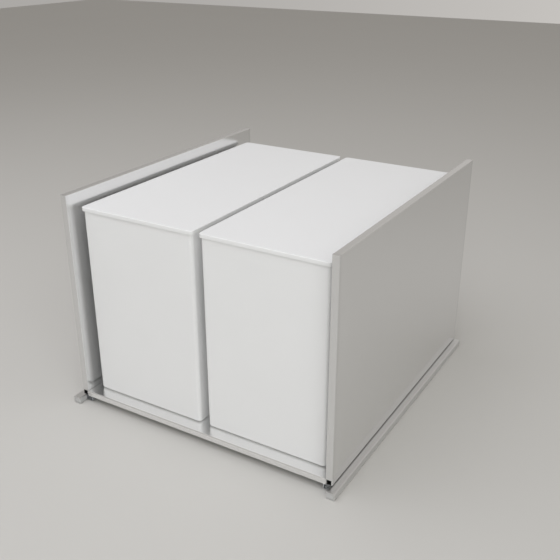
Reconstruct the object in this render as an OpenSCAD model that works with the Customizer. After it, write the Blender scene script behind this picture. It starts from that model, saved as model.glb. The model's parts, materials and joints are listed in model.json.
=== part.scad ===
// Pull-out laundry hamper for the bottom of a kitchen or utility cabinet.
// Two lidded bins stand on a sheet tray between two tall double-wall sides,
// and the whole drawer runs out on a pair of low full-extension ball runners.
// +Z is up, the drawer pulls out towards -Y, and the origin is on the cabinet
// floor, midway between the rails and midway along them.

/* [Cabinet fit] */
// Width over the two rails, 1 mm less than the inside of the cabinet
rail_span = 467; // [417:1:567]
// Length of a rail, front to back
rail_length = 496; // [446:1:546]
// Length of the rail that shows in front of the sides
rail_front_reach = 12; // [8:1:30]

/* [Fixed rails] */
// Height of a rail over the cabinet floor
rail_height = 11.5; // [11.2:0.1:13]
// Sheet thickness of a rail
rail_sheet = 1.2; // [1:0.1:1.4]
// Width of a rail's top flange
rail_top_w = 12.5; // [11.5:0.1:13.5]
// Outside radius of the bends in a rail
rail_bend_r = 1.6; // [1.5:0.1:1.8]
// Width of the screw flange on the cabinet floor
screw_flange_w = 42; // [40:1:60]
// How far the screw flange starts behind the rail's front end
screw_flange_setback = 30; // [20:1:50]
// Diameter of the screw holes in that flange
screw_hole_d = 4.5; // [4:0.1:5.5]
// Distance of the screw holes from the flange's inner edge
screw_hole_edge = 7; // [6:0.5:9]
// Distance of the front screw hole from the rail's front end
screw_first = 70; // [60:1:90]
// Distance of the middle screw hole from the rail's front end
screw_middle = 260; // [200:1:300]
// Distance of the rear screw hole from the rail's rear end
screw_last = 36; // [24:1:60]
// Length of the rubber buffer in a rail's rear end
buffer_length = 8; // [5:1:15]

/* [Running pieces] */
// Diameter of the bearing balls
ball_d = 2.5; // [2.3:0.1:2.7]
// Balls in one row of a cage
balls_per_row = 5; // [3:1:6]
// Distance from ball to ball along a row
ball_pitch = 34; // [20:1:36]
// Running play of a ball against each race
ball_play = 0.05; // [0.03:0.01:0.08]
// Thickness of a ball cage
cage_sheet = 0.6; // [0.5:0.1:0.7]
// Wall of the hollow middle rail
middle_wall = 1; // [0.8:0.1:1.1]
// Sheet thickness of the drawer rail
drawer_rail_sheet = 1; // [0.8:0.1:1.1]
// Outside radius of the bends in the drawer rail
drawer_rail_bend_r = 1.4; // [1.2:0.1:1.5]
// How far the drawer rail's channel reaches in past the tray's edge
channel_reach = 4.5; // [4:0.5:7]
// Gap between pieces that slide past each other
slide_gap = 0.3; // [0.25:0.05:0.4]
// How far the running rails start behind the sides' front edge
run_recess = 3; // [2:1:10]
// Length of the plug that holds the nose in the middle rail
nose_plug = 12; // [8:1:20]
// Play around a plug pushed into a hollow rail or side
plug_play = 0.15; // [0.1:0.05:0.3]

/* [Sides] */
// Thickness of a double-wall side
side_t = 10; // [9.5:0.5:13]
// Height of a side
side_h = 333.5; // [320:0.5:420]
// Distance of a side in from the rail's outer face
side_inset = 10; // [8:0.5:12]
// Gap between the rail's top and the side's bottom edge
side_clear = 0.5; // [0.4:0.1:2]
// Sheet thickness of the sides
side_sheet = 1; // [0.8:0.1:1.1]
// Outside radius of the sides' rounded edges
side_edge_r = 1.6; // [1.5:0.1:3]
// Width of the lips folded in along a side's bottom
side_lip = 3; // [2:0.5:3.5]
// Depth of a side's end cap that shows
cap_depth = 5; // [4:0.5:8]
// Length of the end cap's plug inside the side
cap_plug = 12; // [8:1:20]
// Wall of the end cap's plug
cap_wall = 1.5; // [1:0.1:2]

/* [Front sockets] */
// Width of a square front socket's collar
socket_w = 7.4; // [7.2:0.1:8.2]
// Thickness of the collar
socket_collar = 1; // [0.8:0.1:1.5]
// Width of the socket's square opening
socket_open = 5.2; // [4.6:0.1:5.4]
// Radius of the collar's corners
socket_corner_r = 1.2; // [0.4:0.1:1.8]
// Wall of the socket behind its collar
socket_wall = 1; // [0.8:0.1:1]
// Depth of the socket
socket_depth = 25; // [18:1:40]
// Height of the socket over the side's bottom edge
socket_up = 1.5; // [1:0.1:2]

/* [Tray] */
// Height of the folded edges of the tray
tray_fold_h = 8.5; // [7.3:0.1:10]
// Sheet thickness of the tray
tray_sheet = 1; // [0.8:0.1:1.1]
// Outside radius of the tray's folds
tray_bend_r = 1.6; // [1.5:0.1:2.4]
// Width of the flanges folded in under the tray
tray_foot_w = 17; // [16:1:20]
// How far the tray ends before the sides' rear end
tray_rear_gap = 7; // [7:1:14]
// Diameter of the bin locators
locator_d = 34; // [24:1:44]
// Height of the bin locators over the tray
locator_h = 1.4; // [1:0.1:1.6]
// Radius of the locators' top edge
locator_edge_r = 0.8; // [0.3:0.1:0.9]
// Diameter of a locator's peg
locator_peg_d = 6; // [4:0.5:8]
// Length of the peg under the tray's sheet
locator_peg_drop = 2; // [1:0.5:3]
// Play between a locator and its dimple in the bin
locator_play = 1; // [0.5:0.1:2]
// Distance of a locator from each end of its bin
locator_inset = 90; // [60:1:140]

/* [Back panel] */
// Height of the back panel
back_h = 150; // [100:1:290]
// Sheet thickness of the back panel
back_sheet = 1; // [0.8:0.1:1.2]
// Outside radius of the back panel's folds
back_bend_r = 1.6; // [1.5:0.1:2.4]
// Width of the back panel's side flanges
back_flange_w = 12; // [10:1:12]
// Width of the back panel's folded top edge
back_top_w = 6; // [4:1:6]

/* [Bins] */
// Height of a bin
bin_h = 303; // [250:1:312]
// Wall thickness of a bin
bin_wall = 2; // [1.6:0.1:3]
// Floor thickness of a bin
bin_floor = 2.5; // [2:0.1:4]
// Radius of the bins' upright corners
bin_corner_r = 5.5; // [5.5:0.5:20]
// Radius of the bins' bottom edge
bin_base_r = 5; // [3:0.5:5]
// Depth of the dimples that drop over the locators
dimple_h = 2; // [1.8:0.1:3]

/* [Lids] */
// Height of a lid's rim
lid_h = 6; // [5:0.5:12]
// Thickness of a lid's top
lid_top = 2; // [1.5:0.1:3]
// Wall thickness of a lid's rim
lid_wall = 1.6; // [1.2:0.1:2]
// Play between the lid and the bin's wall
lid_play = 0.5; // [0.3:0.1:0.8]
// Radius of the lids' upright corners
lid_corner_r = 5.5; // [4:0.5:20]
// Radius of the lid's soft top edge
lid_edge_r = 1.2; // [0.8:0.1:3]
// Depth of the rib that centres the lid inside its bin
lid_rib_h = 8; // [4:0.5:12]
// Gap between a lid and the side beside it
lid_side_gap = 9; // [6:0.5:16]
// Gap between the two lids
lid_centre_gap = 10; // [6:0.1:20]
// Distance of the lids behind the sides' front edge
lid_front_gap = 18; // [10:1:40]
// Distance of the lids from the sides' rear edge
lid_rear_gap = 25; // [24:1:60]

/* [Fasteners] */
// Diameter of a rivet's shank
rivet_d = 3.2; // [2.4:0.1:3.6]
// Diameter of a rivet's head
rivet_head_d = 5; // [4.4:0.1:5.2]
// Height of a rivet's domed head
rivet_head_h = 0.9; // [0.6:0.1:1.2]
// Rivets along one side of the tray
tray_rivets = 5; // [3:1:7]
// Distance of the end rivets and screws from the sides' ends
fastener_inset = 50; // [46:1:80]
// Height of the lowest rivet in the back panel
back_rivet_first = 25; // [15:1:40]
// Distance of the highest rivet below the back panel's top
back_rivet_last = 25; // [15:1:40]
// Diameter of the screws under the tray
tray_screw_d = 4; // [3:0.1:4.5]
// Diameter of their heads
tray_screw_head_d = 7.5; // [6:0.1:8]
// Height of their heads
tray_screw_head_h = 2.4; // [2:0.1:3]
// Length of their shanks that stands out over the tray's flange
tray_screw_end = 2; // [1:0.5:3]
// Screws under each edge of the tray
tray_screws = 3; // [2:1:5]
// Radial play of a shank in its hole
shank_play = 0.05; // [0.02:0.01:0.1]

/* [Hidden] */

$fn = 48;
// Overshoot of a cutting shape past the face that it opens
CUT = 1;

// Places along the drawer
rail_front = -rail_length / 2;
rail_rear = rail_length / 2;
side_front = rail_front + rail_front_reach;
side_rear = rail_rear;
run_front = side_front + run_recess;
run_rear = rail_rear - buffer_length - slide_gap;
tray_rear = side_rear - tray_rear_gap;
lid_front = side_front + lid_front_gap;
lid_rear = side_rear - lid_rear_gap;
screw_rows = [rail_front + screw_first, rail_front + screw_middle, rail_rear - screw_last];

// Heights over the cabinet floor
side_base = rail_height + side_clear;
tray_top = side_base + tray_fold_h;
bin_top = tray_top + bin_h;
rivet_z = (side_base + tray_top) / 2;

// Distances in from a rail's outer face
tray_edge = side_inset + side_t;
tray_foot_end = tray_edge + tray_foot_w;
channel_web = tray_edge + channel_reach;
channel_mouth = rail_top_w + 2 * slide_gap + middle_wall;
middle_step = rail_top_w + slide_gap;
tray_screw_u = (channel_web + tray_foot_end) / 2;
screw_hole_u = screw_flange_w - screw_hole_edge;

// Widths and lengths across the drawer
half_span = rail_span / 2;
tray_half_w = half_span - tray_edge;
lid_w = tray_half_w - lid_side_gap - lid_centre_gap / 2;
lid_l = lid_rear - lid_front;
lid_overlap = lid_wall + lid_play;
bin_w = lid_w - 2 * lid_overlap;
bin_l = lid_l - 2 * lid_overlap;
bin_x = (lid_centre_gap + lid_w) / 2;
bin_y = (lid_front + lid_rear) / 2;
dimple_r = locator_d / 2 + locator_play;
locator_rows = [bin_y - bin_l / 2 + locator_inset, bin_y + bin_l / 2 - locator_inset];

// Ball races, as distances in from the rail's outer face and heights
race_r = ball_d / 2 + ball_play;
outer_ball_u = rail_sheet + race_r;
outer_ball_z = [rail_sheet + race_r, rail_height - rail_sheet - race_r];
channel_z = [rail_sheet + slide_gap, rail_height - rail_sheet - slide_gap];
inner_ball_u = channel_web - drawer_rail_sheet - race_r;
inner_ball_z = [channel_z[0] + drawer_rail_sheet + race_r,
                channel_z[1] - drawer_rail_sheet - race_r];
outer_cage_y = (rail_front + run_rear) / 2;
inner_cage_y = (run_front + run_rear) / 2;

// Evenly spaced places between two ends
function spaced(from, to, count) =
    [for (i = [0 : count - 1]) from + (to - from) * i / (count - 1)];

// Extrudes an outline of widths and heights along the drawer
module along_y(from, to) {
    translate([0, to, 0]) rotate([90, 0, 0]) linear_extrude(height = to - from) children();
}

// Extrudes an outline of depths and heights across the drawer
module along_x(from, to) {
    translate([from, 0, 0]) rotate([90, 0, 90]) linear_extrude(height = to - from) children();
}

// Turns widths measured in from the right rail's outer face into places on X
module from_rail_face() {
    translate([half_span, 0, 0]) mirror([1, 0, 0]) children();
}

// The right-hand piece, or its mirror image on the left
module on_side(left) {
    if (left) mirror([1, 0, 0]) children();
    else children();
}

// Rectangle between two places in each direction
module strip(u, v) {
    translate([u[0], v[0]]) square([u[1] - u[0], v[1] - v[0]]);
}

// Corners of a rectangle, as steps towards its middle in each direction
LOW_LOW = [1, 1];
LOW_HIGH = [1, -1];
HIGH_LOW = [-1, 1];
HIGH_HIGH = [-1, -1];
ALL_CORNERS = [LOW_LOW, LOW_HIGH, HIGH_LOW, HIGH_HIGH];

// The same rectangle with some of its corners rounded
module rounded(u, v, r, corners = ALL_CORNERS) {
    difference() {
        strip(u, v);
        if (r > 0) for (c = corners)
            translate([c[0] > 0 ? u[0] : u[1], c[1] > 0 ? v[0] : v[1]])
                mirror([c[0] > 0 ? 0 : 1, 0]) mirror([0, c[1] > 0 ? 0 : 1]) difference() {
                    translate([-CUT, -CUT]) square(r + CUT);
                    translate([r, r]) circle(r = r);
                }
    }
}

// Flat disc with a rounded top edge
module rounded_disc(r, h, edge_r) {
    rotate_extrude() rounded([0, r], [0, h], edge_r, [HIGH_HIGH]);
}

// Channel open towards the middle of the drawer, with two rounded bends
module rail_outline() {
    difference() {
        rounded([0, rail_top_w], [0, rail_height], rail_bend_r, [LOW_LOW, LOW_HIGH]);
        rail_channel(rail_top_w + CUT);
    }
}

// The space inside that channel, up to a place across it
module rail_channel(to) {
    rounded([rail_sheet, to], [rail_sheet, rail_height - rail_sheet],
            rail_bend_r - rail_sheet, [LOW_LOW, LOW_HIGH]);
}

module rail(left) {
    color("gainsboro") on_side(left) from_rail_face() difference() {
        union() {
            along_y(rail_front, rail_rear) rail_outline();
            along_y(rail_front + screw_flange_setback, rail_rear)
                strip([rail_top_w - CUT, screw_flange_w], [0, rail_sheet]);
        }
        for (y = screw_rows) translate([screw_hole_u, y, -CUT])
            cylinder(d = screw_hole_d, h = rail_sheet + 2 * CUT);
    }
}

module rear_buffer(left) {
    color("dimgray") on_side(left) from_rail_face()
        along_y(rail_rear - buffer_length, rail_rear) rail_channel(rail_top_w);
}

// Solid outline of the stepped middle rail, drawn in by a margin
module middle_block(margin) {
    strip([outer_ball_u + margin, middle_step - margin],
          [outer_ball_z[0] + margin, outer_ball_z[1] - margin]);
    strip([outer_ball_u + margin, inner_ball_u - margin],
          [inner_ball_z[0] + margin, inner_ball_z[1] - margin]);
}

// The same outline with its four ball grooves
module middle_outline(margin) {
    difference() {
        middle_block(margin);
        for (z = outer_ball_z) translate([outer_ball_u, z]) circle(r = race_r + margin);
        for (z = inner_ball_z) translate([inner_ball_u, z]) circle(r = race_r + margin);
    }
}

module middle_rail(left) {
    color("silver") on_side(left) from_rail_face() along_y(run_front, run_rear) difference() {
        middle_outline(0);
        middle_outline(middle_wall);
    }
}

// Plastic end that closes the rail's mouth and plugs into the middle rail
module middle_rail_nose(left) {
    color("gainsboro") on_side(left) from_rail_face() {
        along_y(rail_front + slide_gap, run_front)
            strip([rail_sheet + slide_gap, rail_top_w],
                  [rail_sheet + slide_gap, rail_height - rail_sheet - slide_gap]);
        along_y(run_front - CUT, run_front + nose_plug) intersection() {
            middle_outline(middle_wall + plug_play);
            strip([0, rail_top_w], [0, rail_height]);
        }
    }
}

// Places of the balls in one row of a cage
function ball_rows(middle) =
    spaced(middle - ball_pitch * (balls_per_row - 1) / 2,
           middle + ball_pitch * (balls_per_row - 1) / 2, balls_per_row);

// Upright strip with a pocket round each ball of its two rows
module cage(u, z, ball_z, middle) {
    half_length = ball_pitch * balls_per_row / 2;
    difference() {
        along_y(middle - half_length, middle + half_length) strip(u, z);
        for (y = ball_rows(middle), bz = ball_z)
            translate([u[0] - CUT, y, bz]) rotate([0, 90, 0])
                cylinder(r = race_r, h = cage_sheet + 2 * CUT);
    }
}

module balls(u, ball_z, middle) {
    for (y = ball_rows(middle), bz = ball_z) translate([u, y, bz]) sphere(d = ball_d);
}

module outer_cage(left) {
    strip_u = rail_sheet + slide_gap;
    color("white") on_side(left) from_rail_face()
        cage([strip_u, strip_u + cage_sheet],
             [rail_sheet + slide_gap, rail_height - rail_sheet - slide_gap],
             outer_ball_z, outer_cage_y);
}

module outer_balls(left) {
    color("lightsteelblue") on_side(left) from_rail_face()
        balls(outer_ball_u, outer_ball_z, outer_cage_y);
}

module inner_cage(left) {
    strip_u = channel_web - drawer_rail_sheet - slide_gap;
    color("white") on_side(left) from_rail_face()
        cage([strip_u - cage_sheet, strip_u],
             [channel_z[0] + drawer_rail_sheet + slide_gap,
              channel_z[1] - drawer_rail_sheet - slide_gap],
             inner_ball_z, inner_cage_y);
}

module inner_balls(left) {
    color("lightsteelblue") on_side(left) from_rail_face()
        balls(inner_ball_u, inner_ball_z, inner_cage_y);
}

// Channel open towards the rail, welded to an angle that carries the tray
module drawer_rail_outline() {
    sheet = drawer_rail_sheet;
    inner_r = drawer_rail_bend_r - sheet;
    difference() {
        rounded([channel_mouth, channel_web], channel_z, drawer_rail_bend_r,
                [HIGH_LOW, HIGH_HIGH]);
        rounded([channel_mouth - CUT, channel_web - sheet],
                [channel_z[0] + sheet, channel_z[1] - sheet], inner_r, [HIGH_LOW, HIGH_HIGH]);
    }
    difference() {
        rounded([channel_web, tray_foot_end], [channel_z[0] + drawer_rail_bend_r, side_base],
                drawer_rail_bend_r, [LOW_HIGH]);
        rounded([channel_web + sheet, tray_foot_end + CUT],
                [channel_z[0], side_base - sheet], inner_r, [LOW_HIGH]);
    }
}

// Places of the screws under a tray edge
tray_screw_rows = spaced(side_front + fastener_inset, side_rear - fastener_inset, tray_screws);

module drawer_rail(left) {
    color("silver") on_side(left) from_rail_face() difference() {
        along_y(run_front, run_rear) drawer_rail_outline();
        for (y = tray_screw_rows)
            translate([tray_screw_u, y, side_base - drawer_rail_sheet - CUT])
                cylinder(r = tray_screw_d / 2 + shank_play, h = drawer_rail_sheet + 2 * CUT);
    }
}

// Outline of a side with rounded edges, drawn in by a margin
module side_outline(margin) {
    rounded([side_inset + margin, tray_edge - margin],
            [side_base + margin, side_base + side_h - margin], side_edge_r - margin);
}

// Places of the rivets through a side and the tray, and through the back panel
tray_rivet_rows = spaced(side_front + fastener_inset, side_rear - fastener_inset, tray_rivets);
back_rivet_y = tray_rear - back_flange_w / 2;
back_rivet_z = [tray_top + back_rivet_first, tray_top + back_h - back_rivet_last];

// A shank across the side's inner wall, grown by a play
module rivet_shanks(y_list, z_list, from, to, play) {
    for (y = y_list, z = z_list) translate([from, y, z]) rotate([0, 90, 0])
        cylinder(r = rivet_d / 2 + play, h = to - from);
}

module side(left) {
    color("whitesmoke") on_side(left) from_rail_face() difference() {
        along_y(side_front + cap_depth, side_rear - cap_depth) difference() {
            side_outline(0);
            side_outline(side_sheet);
            strip([side_inset + side_lip, tray_edge - side_lip],
                  [side_base - CUT, side_base + side_sheet + CUT]);
        }
        rivet_shanks(tray_rivet_rows, [rivet_z],
                     tray_edge - side_sheet - CUT, tray_edge + CUT, shank_play);
        rivet_shanks([back_rivet_y], back_rivet_z,
                     tray_edge - side_sheet - CUT, tray_edge + CUT, shank_play);
    }
}

// Block that closes a side's front end, with its outer edges rounded all round
module cap_block() {
    u = [side_inset, tray_edge];
    y = [side_front, side_front + cap_depth];
    z = [side_base, side_base + side_h];
    intersection() {
        along_y(y[0], y[1]) side_outline(0);
        translate([0, 0, z[0]]) linear_extrude(height = side_h)
            rounded(u, y, side_edge_r, [LOW_LOW, HIGH_LOW]);
        along_x(u[0], u[1]) rounded(y, z, side_edge_r, [LOW_LOW, LOW_HIGH]);
    }
}

// The cap with the hollow plug that holds it in the side
module end_cap(plug_base) {
    margin = side_sheet + plug_play;
    inner = margin + cap_wall;
    cap_block();
    along_y(side_front + cap_depth - CUT, side_front + cap_depth + cap_plug) intersection() {
        difference() {
            side_outline(margin);
            strip([side_inset + inner, tray_edge - inner],
                  [side_base + inner, side_base + side_h - inner]);
        }
        strip([0, half_span], [plug_base, side_base + side_h]);
    }
}

// Square rod along the socket, with rounded corners
module socket_rod(width, corner_r, from, depth) {
    middle = side_inset + side_t / 2;
    low = side_base + socket_up + (socket_w - width) / 2;
    along_y(from, from + depth)
        rounded([middle - width / 2, middle + width / 2], [low, low + width], corner_r);
}

socket_body_w = socket_open + 2 * socket_wall;
socket_inner_r = socket_corner_r * socket_open / socket_w;

module side_front_cap(left) {
    color("whitesmoke") on_side(left) from_rail_face() difference() {
        end_cap(side_base + socket_up + socket_w + plug_play);
        socket_rod(socket_w + 2 * shank_play, socket_corner_r, side_front - CUT,
                   socket_collar + CUT);
        socket_rod(socket_body_w + 2 * shank_play, socket_corner_r, side_front, cap_depth + CUT);
    }
}

module side_rear_cap(left) {
    color("whitesmoke") on_side(left) from_rail_face() difference() {
        translate([0, side_front + side_rear, 0]) mirror([0, 1, 0])
            end_cap(side_base + side_sheet + plug_play);
        rivet_shanks([back_rivet_y], back_rivet_z,
                     tray_edge - side_sheet - plug_play - cap_wall - CUT, tray_edge, shank_play);
    }
}

module front_socket(left) {
    color("black") on_side(left) from_rail_face() difference() {
        union() {
            socket_rod(socket_w, socket_corner_r, side_front, socket_collar);
            socket_rod(socket_body_w, socket_corner_r, side_front, socket_depth);
        }
        socket_rod(socket_open, socket_inner_r, side_front - CUT,
                   socket_depth - socket_wall + CUT);
    }
}

// Solid pan with folds rounded along all four top edges, drawn in by a margin
module pan(margin, base) {
    x = [margin - tray_half_w, tray_half_w - margin];
    y = [side_front + margin, tray_rear - margin];
    z = [base, tray_top - margin];
    intersection() {
        along_y(y[0], y[1]) rounded(x, z, tray_bend_r - margin, [LOW_HIGH, HIGH_HIGH]);
        along_x(x[0], x[1]) rounded(y, z, tray_bend_r - margin, [LOW_HIGH, HIGH_HIGH]);
    }
}

module tray() {
    color("whitesmoke") difference() {
        union() {
            difference() {
                pan(0, side_base);
                pan(tray_sheet, side_base - CUT);
            }
            translate([-tray_half_w, side_front, side_base])
                cube([2 * tray_half_w, tray_fold_h, tray_sheet]);
            for (left = [false, true]) on_side(left) from_rail_face()
                along_y(side_front, tray_rear)
                    strip([tray_edge, tray_foot_end], [side_base, side_base + tray_sheet]);
        }
        for (left = [false, true]) on_side(left) {
            from_rail_face() {
                rivet_shanks(tray_rivet_rows, [rivet_z],
                             tray_edge - CUT, tray_edge + tray_sheet + CUT, shank_play);
                for (y = tray_screw_rows) translate([tray_screw_u, y, side_base - CUT])
                    cylinder(r = tray_screw_d / 2 + shank_play, h = tray_sheet + 2 * CUT);
            }
            for (y = locator_rows) translate([bin_x, y, tray_top - tray_sheet - CUT])
                cylinder(r = locator_peg_d / 2 + shank_play, h = tray_sheet + 2 * CUT);
        }
    }
}

// Panel behind the bins, folded forwards at its sides and back at its top
module back_panel() {
    inner_r = back_bend_r - back_sheet;
    y = [tray_rear - back_flange_w, tray_rear];
    top = tray_top + back_h;
    color("whitesmoke") difference() {
        union() {
            translate([0, 0, tray_top]) linear_extrude(height = back_h - back_bend_r) difference() {
                rounded([-tray_half_w, tray_half_w], y, back_bend_r, [LOW_HIGH, HIGH_HIGH]);
                rounded([back_sheet - tray_half_w, tray_half_w - back_sheet],
                        [y[0] - CUT, y[1] - back_sheet], inner_r, [LOW_HIGH, HIGH_HIGH]);
            }
            along_x(back_bend_r - tray_half_w, tray_half_w - back_bend_r) difference() {
                rounded([y[1] - back_sheet, y[1] + back_top_w], [top - back_bend_r, top],
                        back_bend_r, [LOW_HIGH]);
                rounded([y[1], y[1] + back_top_w + CUT], [top - back_bend_r - CUT, top - back_sheet],
                        inner_r, [LOW_HIGH]);
            }
        }
        for (left = [false, true]) on_side(left) from_rail_face()
            rivet_shanks([back_rivet_y], back_rivet_z,
                         tray_edge - CUT, tray_edge + back_sheet + CUT, shank_play);
    }
}

// Blind rivets that draw one more sheet against a wall of the side
module rivets(y_list, z_list, wall, sheet) {
    for (y = y_list, z = z_list) translate([tray_edge, y, z]) rotate([0, 90, 0]) {
        translate([0, 0, -wall]) cylinder(d = rivet_d, h = wall + sheet);
        translate([0, 0, sheet]) rounded_disc(rivet_head_d / 2, rivet_head_h, rivet_head_h);
        translate([0, 0, -wall]) mirror([0, 0, 1])
            rounded_disc((rivet_d + rivet_head_d) / 4, rivet_head_h, rivet_head_h);
    }
}

module tray_rivet_row(left) {
    color("silver") on_side(left) from_rail_face()
        rivets(tray_rivet_rows, [rivet_z], side_sheet, tray_sheet);
}

// These also run through the plug of the side's rear cap
module back_rivet_row(left) {
    color("silver") on_side(left) from_rail_face()
        rivets([back_rivet_y], back_rivet_z, side_sheet + plug_play + cap_wall, back_sheet);
}

module tray_screw_row(left) {
    flange = drawer_rail_sheet + tray_sheet;
    color("silver") on_side(left) from_rail_face() for (y = tray_screw_rows)
        translate([tray_screw_u, y, side_base - drawer_rail_sheet]) {
            cylinder(d = tray_screw_d, h = flange + tray_screw_end);
            translate([0, 0, -tray_screw_head_h])
                cylinder(d = tray_screw_head_d, h = tray_screw_head_h);
        }
}

// Plastic discs pegged into the tray, one under each dimple of a bin
module bin_locators() {
    color("gray") for (left = [false, true]) on_side(left) for (y = locator_rows)
        translate([bin_x, y, tray_top]) {
            rounded_disc(locator_d / 2, locator_h, locator_edge_r);
            translate([0, 0, -tray_sheet - locator_peg_drop])
                cylinder(d = locator_peg_d, h = tray_sheet + locator_peg_drop + locator_h / 2);
        }
}

// Rectangle centred on its plan, with round corners
module plan(w, l, r) {
    rounded([-w / 2, w / 2], [-l / 2, l / 2], r);
}

// Box centred on its plan, with round uprights and a soft bottom edge
module soft_box(w, l, h, corner_r, edge_r) {
    x = w / 2 - corner_r;
    y = l / 2 - corner_r;
    for (cx = [-x, x], cy = [-y, y]) translate([cx, cy, h]) mirror([0, 0, 1])
        rounded_disc(corner_r, h, edge_r);
    along_y(-y, y) rounded([-w / 2, w / 2], [0, h], edge_r, [LOW_LOW, HIGH_LOW]);
    along_x(-x, x) rounded([-l / 2, l / 2], [0, h], edge_r, [LOW_LOW, HIGH_LOW]);
}

module bin(left) {
    color("white") on_side(left) translate([bin_x, bin_y, tray_top]) difference() {
        union() {
            difference() {
                soft_box(bin_w, bin_l, bin_h, bin_corner_r, bin_base_r);
                translate([0, 0, bin_floor])
                    soft_box(bin_w - 2 * bin_wall, bin_l - 2 * bin_wall, bin_h,
                             bin_corner_r - bin_wall, bin_base_r - bin_wall);
            }
            for (y = locator_rows) translate([0, y - bin_y, bin_floor / 2])
                cylinder(r = dimple_r + bin_wall, h = bin_floor / 2 + dimple_h);
        }
        for (y = locator_rows) translate([0, y - bin_y, -CUT])
            cylinder(r = dimple_r, h = dimple_h + CUT);
    }
}

module lid(left) {
    skirt = lid_h - lid_top;
    rib_gap = bin_wall + lid_play;
    rib = rib_gap + lid_wall;
    color("white") on_side(left) translate([bin_x, bin_y, bin_top]) {
        difference() {
            translate([0, 0, lid_top]) mirror([0, 0, 1])
                soft_box(lid_w, lid_l, lid_h, lid_corner_r, lid_edge_r);
            translate([0, 0, -skirt - CUT]) linear_extrude(height = skirt + CUT)
                plan(lid_w - 2 * lid_wall, lid_l - 2 * lid_wall, lid_corner_r - lid_wall);
        }
        translate([0, 0, -lid_rib_h]) linear_extrude(height = lid_rib_h + lid_top / 2)
            difference() {
                plan(bin_w - 2 * rib_gap, bin_l - 2 * rib_gap, bin_corner_r - rib_gap);
                plan(bin_w - 2 * rib, bin_l - 2 * rib, bin_corner_r - rib);
            }
    }
}

rail(true);  // rail_left
rail(false);  // rail_right
rear_buffer(true);  // rear_buffer_left
rear_buffer(false);  // rear_buffer_right
middle_rail(true);  // middle_rail_left
middle_rail(false);  // middle_rail_right
middle_rail_nose(true);  // middle_rail_nose_left
middle_rail_nose(false);  // middle_rail_nose_right
outer_cage(true);  // outer_cage_left
outer_cage(false);  // outer_cage_right
outer_balls(true);  // outer_balls_left
outer_balls(false);  // outer_balls_right
inner_cage(true);  // inner_cage_left
inner_cage(false);  // inner_cage_right
inner_balls(true);  // inner_balls_left
inner_balls(false);  // inner_balls_right
drawer_rail(true);  // drawer_rail_left
drawer_rail(false);  // drawer_rail_right
side(true);  // side_left
side(false);  // side_right
side_front_cap(true);  // side_front_cap_left
side_front_cap(false);  // side_front_cap_right
side_rear_cap(true);  // side_rear_cap_left
side_rear_cap(false);  // side_rear_cap_right
front_socket(true);  // front_socket_left
front_socket(false);  // front_socket_right
tray();
back_panel();
tray_rivet_row(true);  // tray_rivets_left
tray_rivet_row(false);  // tray_rivets_right
back_rivet_row(true);  // back_rivets_left
back_rivet_row(false);  // back_rivets_right
tray_screw_row(true);  // tray_screws_left
tray_screw_row(false);  // tray_screws_right
bin_locators();
bin(true);  // bin_left
bin(false);  // bin_right
lid(true);  // lid_left
lid(false);  // lid_right
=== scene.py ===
"""Looks of the pull-out laundry hamper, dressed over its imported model.

A piece that is modelled anew takes its size and place from the node that it stands for. It is
worked out in millimetres and turned to metres when it is fitted.
"""

from __future__ import annotations

import json
import logging
import math
from collections.abc import Callable, Iterable
from dataclasses import dataclass
from enum import Enum
from functools import cached_property

import bmesh
import bpy
from mathutils import Matrix, Vector

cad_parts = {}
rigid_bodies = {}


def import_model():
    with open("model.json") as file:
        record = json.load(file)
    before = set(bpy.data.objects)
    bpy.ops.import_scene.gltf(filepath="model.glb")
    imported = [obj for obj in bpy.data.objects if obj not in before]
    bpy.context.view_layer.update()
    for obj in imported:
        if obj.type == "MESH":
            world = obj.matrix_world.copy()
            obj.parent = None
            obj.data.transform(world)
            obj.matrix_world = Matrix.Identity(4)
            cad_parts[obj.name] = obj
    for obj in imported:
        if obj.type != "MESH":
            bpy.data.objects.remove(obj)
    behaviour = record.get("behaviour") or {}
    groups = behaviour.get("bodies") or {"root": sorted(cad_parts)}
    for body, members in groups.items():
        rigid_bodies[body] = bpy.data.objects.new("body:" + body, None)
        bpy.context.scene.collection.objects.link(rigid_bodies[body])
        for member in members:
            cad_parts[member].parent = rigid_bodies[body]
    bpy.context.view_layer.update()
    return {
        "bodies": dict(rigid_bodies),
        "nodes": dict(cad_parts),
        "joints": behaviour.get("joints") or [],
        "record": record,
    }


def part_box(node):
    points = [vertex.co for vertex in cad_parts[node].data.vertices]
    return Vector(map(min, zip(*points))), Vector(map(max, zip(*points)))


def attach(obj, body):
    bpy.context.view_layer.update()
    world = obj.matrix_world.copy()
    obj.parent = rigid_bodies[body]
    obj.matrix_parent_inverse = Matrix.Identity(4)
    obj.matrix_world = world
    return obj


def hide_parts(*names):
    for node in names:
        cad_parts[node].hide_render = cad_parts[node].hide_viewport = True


LOG = logging.getLogger("hamper")
# One millimetre in metres.
MM = 0.001
# Distance in millimetres within which two points are one, and slack when places are compared.
NEAR, SLACK = 1e-4, 1e-3
# Angle in degrees from which the edge between two faces shows as sharp.
CREASE = 38
# The two colour inputs and the colour output of a Mix node.
MIX_A, MIX_B, MIX_RESULT = 6, 7, 2


class Side(Enum):
    """The two sides of the drawer, seen from the front."""

    LEFT = -1
    RIGHT = 1

    @property
    def word(self) -> str:
        """Return the word that ends this side's node names."""
        return self.name.lower()


class End(Enum):
    """The two ends of the drawer."""

    FRONT = -1
    REAR = 1

    @property
    def word(self) -> str:
        """Return the word that this end's node names hold."""
        return self.name.lower()


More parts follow.
